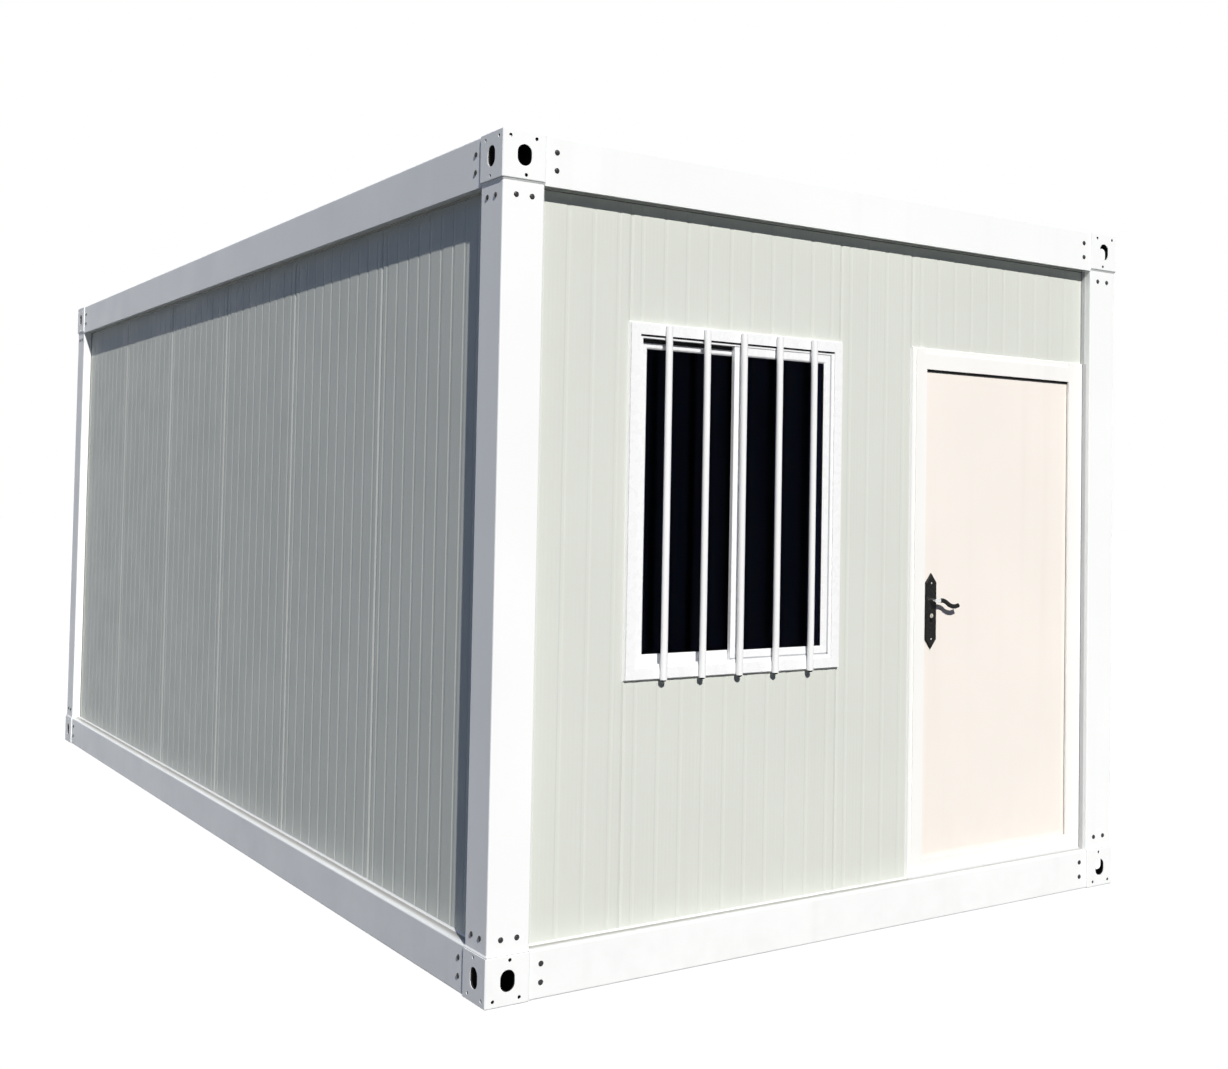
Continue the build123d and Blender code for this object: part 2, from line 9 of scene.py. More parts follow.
import bmesh
import bpy
import numpy as np
from bpy.props import FloatProperty, FloatVectorProperty, IntProperty, PointerProperty
from bpy.types import Operator, Panel, PropertyGroup
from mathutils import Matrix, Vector


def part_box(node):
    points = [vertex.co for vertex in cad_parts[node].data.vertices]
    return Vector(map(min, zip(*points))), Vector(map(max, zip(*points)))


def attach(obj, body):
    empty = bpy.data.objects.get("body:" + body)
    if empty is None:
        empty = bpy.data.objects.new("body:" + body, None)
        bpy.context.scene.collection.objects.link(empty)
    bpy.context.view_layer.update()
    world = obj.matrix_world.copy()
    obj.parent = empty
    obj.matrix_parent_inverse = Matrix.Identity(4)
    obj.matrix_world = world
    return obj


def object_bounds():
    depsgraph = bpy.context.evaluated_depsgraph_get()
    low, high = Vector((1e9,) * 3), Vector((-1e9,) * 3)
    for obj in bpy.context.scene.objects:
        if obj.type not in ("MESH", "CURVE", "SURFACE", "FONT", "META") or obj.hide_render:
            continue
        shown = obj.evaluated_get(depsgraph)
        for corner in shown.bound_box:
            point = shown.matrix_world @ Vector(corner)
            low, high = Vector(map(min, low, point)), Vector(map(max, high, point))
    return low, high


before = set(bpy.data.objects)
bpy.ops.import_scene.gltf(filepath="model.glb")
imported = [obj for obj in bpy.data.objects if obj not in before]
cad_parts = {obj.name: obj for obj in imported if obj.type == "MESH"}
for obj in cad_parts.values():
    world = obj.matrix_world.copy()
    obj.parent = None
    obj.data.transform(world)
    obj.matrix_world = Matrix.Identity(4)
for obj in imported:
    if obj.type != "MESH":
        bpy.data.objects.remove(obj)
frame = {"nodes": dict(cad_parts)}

bl_info = {
    "name": "Prefab container house",
    "version": (1, 0, 0),
    "blender": (4, 5, 0),
    "location": "3D View > Sidebar > House",
    "description": "Dresses the packed container house and sets up its stage and camera",
    "category": "Object",
}

CAD_BOX = [list(corner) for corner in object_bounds()]
SIDES = ("front", "rear", "left", "right")
BOTH_SIGNS = np.array([-1.0, 1.0])
RIGHT, REAR, UP = np.eye(3)
SHELL = "shell"
DOOR = "door"


def number(name, description, default, **kind):
    """A number setting, plain or of the given unit or subtype."""
    return FloatProperty(name=name, description=description, default=default, **kind)


def numbers(name, description, default, **kind):
    """Several numbers under one name, plain or of the given unit or subtype."""
    return FloatVectorProperty(
        name=name, description=description, default=default, size=len(default), **kind
    )


def colour(name, description, default):
    """A linear colour setting."""
    return numbers(name, description, default, subtype="COLOR", min=0.0, max=1.0)


def length(name, description, default):
    """A length setting in metres."""
    return number(name, description, default, unit="LENGTH", precision=4)


def lengths(name, description, default):
    """Several lengths in metres under one name."""
    return numbers(name, description, default, unit="LENGTH", precision=4)


def share(name, description, default):
    """A setting from 0 to 1."""
    return number(name, description, default, subtype="FACTOR", min=0.0, max=1.0)


class FrameSettings(PropertyGroup):
    """Painted steel frame and its bolts."""

    paint: colour("Paint", "Enamel on the posts, beams and corner fittings", (0.965, 0.985, 0.98))
    # Darkened, this dust colour is also painted shade on the ledges close to the walls.
    grime: colour("Grime", "Dust that settles low on the frame", (0.55, 0.54, 0.51))
    grime_height: length("Grime height", "Height over the ground that dust reaches", 0.30)
    bolt: colour("Bolt", "Blackened steel of the bolts", (0.030, 0.031, 0.034))
    tarnish: colour("Bolt tarnish", "Worn patches on the bolts", (0.055, 0.050, 0.045))
    # Painted shade: the fittings' near-black insides stand for unpainted steel in shade.
    bare_and_shade: colour("Bare steel", "Unpainted insides of the corner fittings", (0.022, 0.022, 0.023))
    bare_and_shade_depth: length("Bare depth", "Depth under a fitting's outline at which the paint ends", 0.002)
    gloss: share("Paint roughness", "Roughness of the enamel", 0.40)
    bolt_size: lengths("Bolt size", "Radius over the corners and height of a head", (0.0076, 0.0048))
    washer_size: lengths("Washer size", "Radius and thickness of a washer", (0.0092, 0.0015))
    bolt_seams: lengths("Bolt seams", "Gap from a beam's and a post's bolts to the fitting", (0.043, 0.050))
    beam_bolt_levels: lengths("Beam bolt levels", "Distances from the frame's top or foot", (0.053, 0.113))
    post_bolt_edges: lengths("Post bolt edges", "Distances from the corner of the unit", (0.055, 0.113))
    fillet: lengths("Seam fillet", "Reach of a fillet of paint off the post and along it", (0.004, 0.006))


class WallSettings(PropertyGroup):
    """Sandwich panels and their sealant."""

    skin: colour("Panel skin", "Coating of the panels' steel skins", (0.713, 0.740, 0.685))
    grime: colour("Panel dust", "Dust washed down the panels", (0.52, 0.52, 0.48))
    grime_height: length("Dust height", "Height over the ground that dust reaches", 0.55)
    gloss: share("Skin roughness", "Roughness of the coating", 0.46)
    shine: share("Skin shine", "Strength of the coating's reflection", 0.05)
    line_pitch: length("Line pitch", "Distance between the fine rolled lines of the skin", 0.0158)
    sealant: colour("Sealant", "Sealant along the foot of the panels", (0.80, 0.81, 0.80))
    sealant_size: lengths("Sealant size", "Leg of a bead and its reach round an opening", (0.006, 0.003))
    sealant_hollow: share("Sealant hollow", "Middle of a bead's face as a share of its leg", 0.42)
    # Partly painted shade: the dark filler and the grey corner strips darken corners where shade falls.
    joint_shade: colour("Joint", "Dark joint between the panels and the frame", (0.14, 0.142, 0.145))
    joint_leg: length("Joint leg", "Width of the dark joint on each face it joins", 0.0035)
    trim_shade: colour("Corner trim", "Grey trim beside and under the door", (0.60, 0.61, 0.62))
    trim_size: lengths("Trim size", "Thickness and width of the corner trim", (0.0015, 0.020))


class WindowSettings(PropertyGroup):
    """Sliding window and its bars."""

    plastic: colour("Frame plastic", "White plastic of the frame and sashes", (0.925, 0.935, 0.945))
    glass: colour("Glass tint", "Tint of the panes", (0.10, 0.115, 0.19))
    rubber: colour("Rubber", "Glazing rubber and door seal", (0.014, 0.014, 0.015))
    bar_paint: colour("Bar paint", "Enamel on the security bars", (0.945, 0.955, 0.955))
    bar_dust: colour("Bar dust", "Streaks on the security bars", (0.40, 0.37, 0.33))
    margin: lengths("Sash margin", "Widths of a sash's stiles and of its rails", (0.038, 0.038))
    bead: lengths("Bead", "Widths of bead and rubber, and depth of the glass", (0.006, 0.0025, 0.0055))
    bar_count: IntProperty(name="Bars", description="Number of security bars", default=5, min=2)
    seal: colour("Sash seal", "Grey seal at the foot and side of the front sash", (0.46, 0.47, 0.49))
    rebate: lengths("Rebate", "Part of a sash hidden at its side, foot and head", (0.011, 0.012, 0.010))
    step: lengths("Step", "Depth of the frame's step and width of the lip within it", (0.005, 0.012))
    # The step strip and the rear strip are black painted shade; the foot and side seals are grey seals.
    shade_strip_and_seal_widths: lengths(
        "Strip widths", "Step strip, rear brush, foot seal and side seal", (0.006, 0.014, 0.006, 0.005)
    )
    strip_depth: lengths("Strip depth", "Reach of a strip out of its face and into it", (0.0012, 0.0004))
    plug_share: share("Plug share", "Radius of a bar's plug as a share of the bar's", 0.86)
    plug_depth: lengths("Plug depth", "Rise at the head and foot, and reach inside", (0.004, 0.007, 0.004))


class DoorSettings(PropertyGroup):
    """Door leaf, frame, handles and lock."""

    leaf: colour("Leaf coating", "Cream coating of the door leaf", (0.945, 0.89, 0.825))
    leaf_dust: colour("Leaf dust", "Dust on the door leaf", (0.48, 0.42, 0.36))
    jamb: colour("Frame paint", "Paint of the door frame", (0.965, 0.962, 0.935))
    jamb_dust: colour("Frame dust", "Dust on the door frame", (0.42, 0.40, 0.36))
    dust_height: length("Dust height", "Height over the ground that dust reaches", 0.5)
    iron: colour("Handle black", "Black iron of the handle plates", (0.012, 0.0115, 0.012))
    iron_tarnish: colour("Handle tarnish", "Worn patches on the iron", (0.022, 0.020, 0.019))
    nickel: colour("Lever metal", "Polished metal of the levers' necks", (0.80, 0.80, 0.79))
    brass: colour("Lock metal", "Metal of the lock cylinder", (0.68, 0.64, 0.54))
    # Painted shade: the key slots are thin black sheets for the dark inside of the keyway.
    keyhole_shade: colour("Keyhole", "Inside of the key slots", (0.01, 0.01, 0.01))
    steel: colour("Hinge steel", "Zinc-plated steel of the hinges", (0.60, 0.60, 0.61))
    steel_tarnish: colour("Steel tarnish", "Worn patches on the hinges", (0.36, 0.35, 0.34))
    neck_reach: length("Neck reach", "Length of bright metal at the root of a lever", 0.022)
    seal: lengths("Seal", "Inset from the leaf's edge, and radius of the bulb", (0.006, 0.0023))
    # Painted shadow: the head strip is black rubber where the head's shadow falls on the leaf.
    strip: lengths("Head strip", "Drop below the head, and part above its edge", (0.009, 0.003))
    strip_faces: lengths("Strip faces", "Rear and front from the leaf, and chamfer", (0.0004, 0.0046, 0.001))
    faceplate: lengths("Faceplate", "Width, height and thickness of the latch's plate", (0.022, 0.20, 0.0015))
    latch: lengths("Latch", "Width, height and reach of the latch bolt", (0.012, 0.030, 0.005))
    screw_inset: length("Screw inset", "Distance of a plate's screws from its points", 0.040)
    screw: lengths("Plate screw", "Radius, rise and reach inside", (0.0036, 0.0014, 0.001))
    key_slot: lengths("Key slot", "Half of its height, width and depth", (0.0042, 0.0007, 0.0002))


class RoofSettings(PropertyGroup):
    """Roof, ceiling and floor."""

    zinc: colour("Zinc", "Coating of the roof, purlins and joists", (0.34, 0.35, 0.36))
    gloss: share("Zinc roughness", "Roughness of the zinc", 0.52)
    vinyl: colour("Vinyl", "Printed floor board", (0.30, 0.235, 0.175))
    ceiling: colour("Ceiling", "White sheet of the ceiling", (0.80, 0.81, 0.80))
    seam_count: IntProperty(name="Seams", description="Number of standing seams", default=11, min=2)
    cap_size: lengths("Cap size", "Half width, rise and legs of a seam's cap", (0.0065, 0.004, 0.014))
    cap_gaps: lengths("Cap gaps", "Gaps of the caps from the fittings in x and y", (0.004, 0.008))


class StageSettings(PropertyGroup):
    """Floor, light and camera."""

    floor_bounce: colour("Floor bounce", "Floor as the house's own light meets it", (0.085, 0.085, 0.082))
    floor_pale: share("Floor paleness", "Share of plain white in the floor that is seen", 0.74)
    floor_shadow: colour("Floor shadow", "Part of the floor that shows the shadow", (0.31, 0.31, 0.31))
    floor_size: length("Floor size", "Half width of the floor", 80.0)
    sky: colour("Sky", "Soft light from all round", (0.076, 0.112, 0.205))
    sky_range: numbers("Sky range", "Strength of the soft light in front and behind", (0.4, 1.6))
    sun_colour: colour("Sun colour", "Colour of the key light", (1.0, 0.975, 0.94))
    sun_power: number("Sun power", "Strength of the key light", 3.97)
    sun_softness: number(
        "Sun softness", "Angle that the key light spans", math.radians(0.7), subtype="ANGLE"
    )
    sun_from: numbers(
        "Sun from", "Direction towards the key light", (-0.203, -0.75, 0.615), subtype="DIRECTION"
    )
    fill_colour: colour("Fill colour", "Colour of the light from behind", (1.0, 0.985, 0.95))
    fill_power: number("Fill power", "Strength of the light from behind", 2.2)
    fill_softness: number(
        "Fill softness", "Angle that the light from behind spans", math.radians(24.0), subtype="ANGLE"
    )
    fill_from: numbers(
        "Fill from", "Direction towards the light from behind", (0.75, 0.62, 0.20), subtype="DIRECTION"
    )
    camera_place: lengths("Camera place", "Where the camera stands", (-3.6554, -7.1432, 1.6076))
    camera_turn: numbers(
        "Camera turn", "Tilt, roll and heading of the camera",
        (math.radians(91.949), math.radians(-0.985), math.radians(-34.669)), subtype="EULER",
    )
    lens: number("Lens", "Focal length", 42.933, unit="CAMERA")
    sensor: number("Sensor", "Width of the camera's sensor", 36.0, unit="CAMERA")
    shift: numbers("Shift", "Shift of the picture frame", (-0.05675, -0.06708))
    sight: length("Sight", "Distance up to which the camera sees", 400.0)


class HouseSettings(PropertyGroup):
    """All settings of the house."""

    frame: PointerProperty(type=FrameSettings)
    wall: PointerProperty(type=WallSettings)
    window: PointerProperty(type=WindowSettings)
    door: PointerProperty(type=DoorSettings)
    roof: PointerProperty(type=RoofSettings)
    stage: PointerProperty(type=StageSettings)


# Node trees


def feed(tree, socket, value):
    """Link a socket to another one, or fill in its value."""
    if isinstance(value, bpy.types.NodeSocket):
        tree.links.new(value, socket)
    else:
        socket.default_value = value


def add_node(tree, kind, inputs=None, **attributes):
    """A new node with its attributes set and its inputs linked or filled in."""
    made = tree.nodes.new(kind)
    for key, value in attributes.items():
        setattr(made, key, value)
    for key, value in (inputs or {}).items():
        feed(tree, made.inputs[key], value)
    return made


class Finish:
    """A material's node tree, with short calls for the textures that the finishes share."""

    def __init__(self, name, base, roughness, metallic=0.0, specular=0.5):
        self.material = bpy.data.materials.new(name)
        self.material.use_nodes = True
        self.tree = self.material.node_tree
        self.shader = self.tree.nodes["Principled BSDF"]
        self.set("Base Color", (*base, 1.0))
        self.set("Roughness", roughness)
        self.set("Metallic", metallic)
        self.set("Specular IOR Level", specular)
        self.where = self.node("ShaderNodeTexCoord").outputs["Object"]

    def node(self, kind, inputs=None, **attributes):
        """A new node of this material."""
        return add_node(self.tree, kind, inputs, **attributes)

    def set(self, socket, value):
        """Fill in or link one of the shader's sockets."""
        feed(self.tree, self.shader.inputs[socket], value)

    def noise(self, scale, detail=3.0, stretch=(1.0, 1.0, 1.0)):
        """Soft noise from 0 to 1 on object coordinates, scaled along each axis."""
        place = self.node("ShaderNodeMapping", {"Vector": self.where, "Scale": stretch}).outputs[0]
        inputs = {"Vector": place, "Scale": scale, "Detail": detail}
        return self.node("ShaderNodeTexNoise", inputs).outputs[0]

    def fit(self, value, low, high, to_low=0.0, to_high=1.0):
        """Bring low to high onto another range with soft ends."""
        inputs = {0: value, 1: low, 2: high, 3: to_low, 4: to_high}
        return self.node("ShaderNodeMapRange", inputs, interpolation_type="SMOOTHSTEP").outputs[0]

    def math(self, operation, first, second=0.0, third=0.0):
        """One arithmetic step."""
        return self.node("ShaderNodeMath", {0: first, 1: second, 2: third}, operation=operation).outputs[0]

    def axis(self, name):
        """One object coordinate."""
        return self.node("ShaderNodeSeparateXYZ", {0: self.where}).outputs[name]

    def blend(self, factor, first, second):
        """Mix two colours."""
        return self.node("ShaderNodeMix", {0: factor, 6: first, 7: second}, data_type="RGBA").outputs[2]

    def within(self, low, high, middle):
        """1 between two corners measured from a middle along each axis, in all eight octants, else 0."""
        total = 1.0
        for name, start, end, centre in zip("XYZ", low, high, middle):
            reach = self.math("ABSOLUTE", self.math("SUBTRACT", self.axis(name), centre))
            total = self.math("MULTIPLY", self.math("GREATER_THAN", reach, start), total)
            total = self.math("MULTIPLY", self.math("LESS_THAN", reach, end), total)
        return total

    def wear(self, smooth, rough):
        """Scratch the gloss between two roughnesses, and give a mask of tarnished patches."""
        patch = self.fit(self.noise(90.0, 5.0), 0.42, 0.72)
        self.set("Roughness", self.fit(self.noise(260.0, 4.0), 0.3, 0.7, smooth, rough))
        self.set("Normal", self.bump(self.noise(700.0, 3.0), 0.0002, 0.25))
        return patch

    def bump(self, height, distance, strength=1.0, normal=None):
        """Tilt the normal by a height, over an earlier bump if there is one."""
        inputs = {"Height": height, "Distance": distance, "Strength": strength}
        if normal is not None:
            inputs["Normal"] = normal
        return self.node("ShaderNodeBump", inputs).outputs[0]


def shade(base, factor):
    """A colour with its light scaled, opaque."""
    return (*(channel * factor for channel in base), 1.0)


def coated_steel(
    name, base, roughness, grime, grime_height, line_pitch=0.0, ledge=None, hollow=None, specular=0.18
):
    """Coated steel: cloudy tone, faint rain streaks, dust near the ground and a fine orange-peel bump.

    With a line pitch, fine upright rolled lines run along the wall as a sine of x + y. A ledge of
    (wall x, wall y, level) is darker close to the wall: dust, and painted shade in the corner where
    the wall meets the ledge. A hollow of (low, high, middle, colour) is painted in that colour between
    two corners measured from the middle: unpainted steel darkened with painted shade.
    """
    made = Finish(name, base, roughness, 0.0, specular)
    cloud = made.noise(1.7, 4.0)
    tone = made.blend(made.fit(cloud, 0.35, 0.7), shade(base, 0.975), shade(base, 1.0))
    streak = made.noise(9.0, 5.0, (1.0, 1.0, 0.035))
    streak_mask = made.math("MULTIPLY", made.fit(streak, 0.52, 0.78), 0.07)
    tone = made.blend(streak_mask, tone, (*grime, 1.0))
    low = made.fit(made.axis("Z"), 0.0, grime_height, 1.0, 0.0)
    splash = made.fit(made.noise(14.0, 6.0), 0.25, 0.85)
    dust = made.math("MULTIPLY", made.math("MULTIPLY", low, splash), 0.10)
    tone = made.blend(dust, tone, (*grime, 1.0))
    # Dust on the ledges, with painted shade: darker in the corner where a wall meets the ledge.
    if ledge:
        beyond = made.math(
            "MAXIMUM",
            made.math("SUBTRACT", made.math("ABSOLUTE", made.axis("X")), ledge[0]),
            made.math("SUBTRACT", made.math("ABSOLUTE", made.axis("Y")), ledge[1]),
        )
        level = made.math("COMPARE", made.axis("Z"), ledge[2], 0.002)
        ledge_dust_and_shade = made.math("MULTIPLY", level, made.fit(beyond, 0.014, 0.042, 1.0, 0.10))
        tone = made.blend(ledge_dust_and_shade, tone, shade(grime, 0.68))
    # Painted shade: the inside of a hollow is painted near black for the shade in it, over unpainted steel.
    if hollow:
        tone = made.blend(made.within(*hollow[:3]), tone, (*hollow[3], 1.0))
    made.set("Base Color", tone)
    smear = made.fit(made.noise(5.0, 5.0), 0.3, 0.75, roughness - 0.06, roughness + 0.08)
    made.set("Roughness", made.math("ADD", smear, made.math("MULTIPLY", dust, 0.5)))
    normal = made.bump(made.noise(420.0, 2.0), 0.0006, 0.10)
    normal = made.bump(made.noise(2.6, 2.0), 0.004, 0.10, normal)
    if line_pitch:
        along = made.math("ADD", made.axis("X"), made.axis("Y"))
        wave = made.math("SINE", made.math("MULTIPLY", along, 2 * math.pi / line_pitch))
        normal = made.bump(wave, 0.00012, 0.55, normal)
    made.set("Normal", normal)
    return made.material


def galvanised_steel(name, base, roughness):
    """Zinc-coated steel: crystal spangle from Voronoi cells, with dull blotches."""
    made = Finish(name, base, roughness, 1.0)
    cells = made.node("ShaderNodeTexVoronoi", {"Vector": made.where, "Scale": 55.0}).outputs["Color"]
    grain = made.node("ShaderNodeSeparateXYZ", {0: cells}).outputs["X"]
    tone = made.blend(grain, shade(base, 0.90), shade(base, 1.08))
    dull = made.fit(made.noise(3.0, 4.0), 0.45, 0.75)
    made.set("Base Color", made.blend(dull, tone, shade(base, 0.89)))
    made.set("Roughness", made.fit(grain, 0.0, 1.0, roughness - 0.08, roughness + 0.10))
    made.set("Normal", made.bump(made.noise(160.0, 2.0), 0.0005, 0.12))
    return made.material


def moulded_plastic(name, base, roughness, peel=0.12, specular=0.5):
    """Moulded or extruded plastic: even tone with slight clouding and a soft skin."""
    made = Finish(name, base, roughness, 0.0, specular)
    made.set("Base Color", made.blend(made.noise(4.0, 3.0), shade(base, 0.993), shade(base, 1.0)))
    made.set("Roughness", made.fit(made.noise(30.0, 4.0), 0.3, 0.7, roughness - 0.05, roughness + 0.06))
    made.set("Normal", made.bump(made.noise(300.0, 2.0), 0.0005, peel))
    return made.material


def worn_metal(name, base, roughness, tarnish, metallic=1.0, specular=0.5):
    """Small metal fittings: tarnished in patches, with fine scratches in the gloss."""
    made = Finish(name, base, roughness, metallic, specular)
    patch = made.wear(roughness - 0.10, roughness + 0.14)
    made.set("Base Color", made.blend(patch, (*base, 1.0), (*tarnish, 1.0)))
    return made.material


def floor_vinyl(name, base):
    """Printed floor board: long grain along the house with boards told apart by tone."""
    made = Finish(name, base, 0.45)
    grain = made.noise(26.0, 8.0, (1.0, 0.06, 1.0))
    tone = made.blend(grain, shade(base, 0.70), shade(base, 1.25))
    board = made.node(
        "ShaderNodeTexBrick",
        {
            "Vector": made.node(
                "ShaderNodeMapping", {"Vector": made.where, "Rotation": (0.0, 0.0, math.pi / 2)}
            ).outputs[0],
            "Color1": shade(base, 0.92), "Color2": shade(base, 1.10), "Mortar": shade(base, 0.45),
            "Scale": 1.0, "Mortar Size": 0.0015, "Brick Width": 1.2, "Row Height": 0.18,
        },
    )
    made.set("Base Color", made.blend(0.5, tone, board.outputs["Color"]))
    made.set("Roughness", made.fit(grain, 0.2, 0.8, 0.38, 0.55))
    made.set("Normal", made.bump(grain, 0.0006, 0.2))
    return made.material


def window_glass(name, tint):
    """Tinted float glass with faint smears in its gloss."""
    made = Finish(name, tint, 0.03)
    made.set("Transmission Weight", 1.0)
    made.set("IOR", 1.12)
    made.set("Specular Tint", (0.35, 0.42, 1.0, 1.0))
    made.set("Base Color", made.blend(made.noise(2.0, 3.0), shade(tint, 0.9), shade(tint, 1.05)))
    made.set("Roughness", made.fit(made.noise(6.0, 6.0, (1.0, 1.0, 0.4)), 0.45, 0.8, 0.01, 0.09))
    return made.material


def lever_finish(name, nickel, iron, root, reach):
    """Lever: polished neck up to a distance from the spindle along X, black iron beyond it."""
    made = Finish(name, nickel, 0.2, 1.0, 0.15)
    outward = made.math("SUBTRACT", made.axis("X"), root)
    black = made.fit(outward, reach - 0.001, reach + 0.001)
    made.set("Base Color", made.blend(black, (*nickel, 1.0), (*iron, 1.0)))
    made.set("Metallic", made.fit(black, 0.0, 1.0, 1.0, 0.15))
    fine = made.fit(made.noise(240.0, 4.0), 0.3, 0.7, -0.05, 0.08)
    made.set("Roughness", made.math("ADD", fine, made.fit(black, 0.0, 1.0, 0.16, 0.34)))
    made.set("Normal", made.bump(made.noise(500.0, 3.0), 0.0003, 0.2))
    return made.material


def lock_finish(name, metal, iron, level):
    """Lock cylinder: bright round barrel above a level, blackened stem below it."""
    made = Finish(name, metal, 0.26, 1.0)
    stem = made.fit(made.axis("Z"), level - 0.0004, level + 0.0004, 1.0, 0.0)
    dull = made.blend(made.wear(0.18, 0.40), (*metal, 1.0), shade(metal, 0.62))
    made.set("Base Color", made.blend(stem, dull, (*iron, 1.0)))
    return made.material


def dress(material, *names):
    """Give CAD nodes a finish in their material slots."""
    for name in names:
        node = frame["nodes"][name]
        if not node.material_slots:
            node.data.materials.append(material)
        for slot in node.material_slots:
            slot.material = material


# Surfaces


def grid_quads(rows, columns, wrap_rows, wrap_columns):
    """Corner indices of the cells of a grid, each row and column joined to the next and, if it wraps,
    the last to the first."""
    index = np.arange(rows * columns).reshape(rows, columns)
    below = np.roll(index, -1, 0)
    cells = np.stack([index, below, np.roll(below, -1, 1), np.roll(index, -1, 1)], axis=-1)
    return cells[:rows if wrap_rows else -1, :columns if wrap_columns else -1].reshape(-1, 4)


def place(name, data):
    """A new object in the scene."""
    made = bpy.data.objects.new(name, data)
    bpy.context.scene.collection.objects.link(made)
    return made


def add_piece(name, grids, wrap_rows, wrap_columns, material, body=SHELL, smooth=35.0):
    """One mesh of equal grids shaped (copies, rows, columns, 3), its poles and seams merged."""
    copies, rows, columns = grids.shape[:3]
    quads = grid_quads(rows, columns, wrap_rows, wrap_columns)
    quads = quads[None] + (np.arange(copies) * rows * columns)[:, None, None]
    mesh = bpy.data.meshes.new(name)
    mesh.from_pydata(grids.reshape(-1, 3), [], quads.reshape(-1, 4).tolist())
    shape = bmesh.new()
    shape.from_mesh(mesh)
    bmesh.ops.remove_doubles(shape, verts=shape.verts, dist=1e-6)
    bmesh.ops.recalc_face_normals(shape, faces=shape.faces)
    shape.to_mesh(mesh)
    shape.free()
    mesh.polygons.foreach_set("use_smooth", np.ones(len(mesh.polygons), dtype=bool))
    mesh.set_sharp_from_angle(angle=math.radians(smooth))
    mesh.materials.append(material)
    piece = place(name, mesh)
    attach(piece, body)
    return piece


def lattice(*axes):
    """All points whose coordinates come from the given lists, one row each."""
    return np.stack(np.meshgrid(*axes, indexing="ij"), axis=-1).reshape(-1, len(axes))


def lathe(profile, sides, hexed=None):
    """Profile of (radius, height) rows turned about the local z axis, a pole wherever the radius is 0.

    Where hexed is 1 the radius follows a hexagon: cos 30 over the cosine of the angle from the
    middle of the nearest flat, which is 1 at the six corners.
    """
    radius, height = np.asarray(profile, dtype=float).T
    turn = np.arange(sides)[:, None] * 2 * math.pi / sides
    flat = np.cos(math.pi / 6) / np.cos(turn % (math.pi / 3) - math.pi / 6)
    hexed = np.zeros_like(radius) if hexed is None else np.asarray(hexed, dtype=float)
    reach = radius * (1.0 + hexed * (flat - 1.0))
    return np.stack([reach * np.cos(turn), reach * np.sin(turn), height + 0.0 * turn], axis=-1)


def stand_on(grid, places, normals):
    """Copies of a local grid, one on each place, its z axis along that place's normal."""
    normals = np.broadcast_to(np.asarray(normals, dtype=float), places.shape)
    level = np.abs(normals[:, 2:]) > 0.5
    side = np.where(level, np.array([1.0, 0.0, 0.0]), np.cross(UP, normals))
    over = np.cross(normals, side)
    axes = np.stack([side, over, normals], axis=1)
    return places[:, None, None, :] + np.einsum("rcj,njk->nrck", grid, axes)


def rods(runs, profile):
    """Straight lengths of a closed profile of (across, up) rows.

    A run gives a length's start and end and its directions across and up. The rows are the middle
    of the profile, the profile at the start, the profile at the end and its middle again, so that
    both ends are closed.
    """
    starts, ends, across, up = np.array(runs, dtype=float).transpose(1, 0, 2)[:, :, None, None]
    profile = np.asarray(profile, dtype=float)
    middle = np.broadcast_to(profile.mean(axis=0), profile.shape)
    rows = np.stack([middle, profile, profile, middle])
    line = np.concatenate([starts, starts, ends, ends], axis=1)
    return line + rows[:, :, :1] * across + rows[:, :, 1:] * up


def add_rods(name, runs, profile, material, body=SHELL):
    """One mesh of straight lengths of a profile."""
    return add_piece(name, rods(runs, profile), False, True, material, body)


def upright_rings(lows, highs, profile, inwards):
    """Closed profiles of (inset, depth) rows carried round upright rectangles with mitred corners.

    lows and highs are (x, y, z) corners at the profile's origin. The inset moves a corner towards
    the rectangle's middle in x and z, and the depth moves it along y, times inwards.
    """
    profile = np.asarray(profile, dtype=float)
    x_side = np.array([0, 1, 1, 0])
    z_side = np.array([0, 0, 1, 1])
    corner = np.where(np.stack([x_side, x_side, z_side], axis=-1)[None], highs[:, None], lows[:, None])
    sign = np.stack([1 - 2 * x_side, 1 - 2 * z_side], axis=-1)
    inset, depth = profile.T
    depth = np.asarray(inwards, dtype=float).reshape(-1, 1, 1) * depth
    x = corner[:, :, None, 0] + sign[None, :, None, 0] * inset
    z = corner[:, :, None, 2] + sign[None, :, None, 1] * inset
    y = lows[:, None, None, 1] + depth + 0.0 * x
    return np.stack([x, y, z], axis=-1)


def dome(radius, height, steps=5):
    """Rows of (radius, height) of a low dome: a quarter ellipse from its top to its rim."""
    turn = np.linspace(0.0, math.pi / 2, steps)
    return np.stack([radius * np.sin(turn), height * np.cos(turn)], axis=-1)


def corners_of(name):
    """Lowest and highest corner of a CAD node as arrays."""
    low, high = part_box(name)
    return np.array(low), np.array(high)


def halves(across, along):
    """Highest x of one CAD node and highest y of another."""
    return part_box(across)[1].x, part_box(along)[1].y


def settings(context):
    """The house's settings."""
    return context.scene.container_house


# Pieces


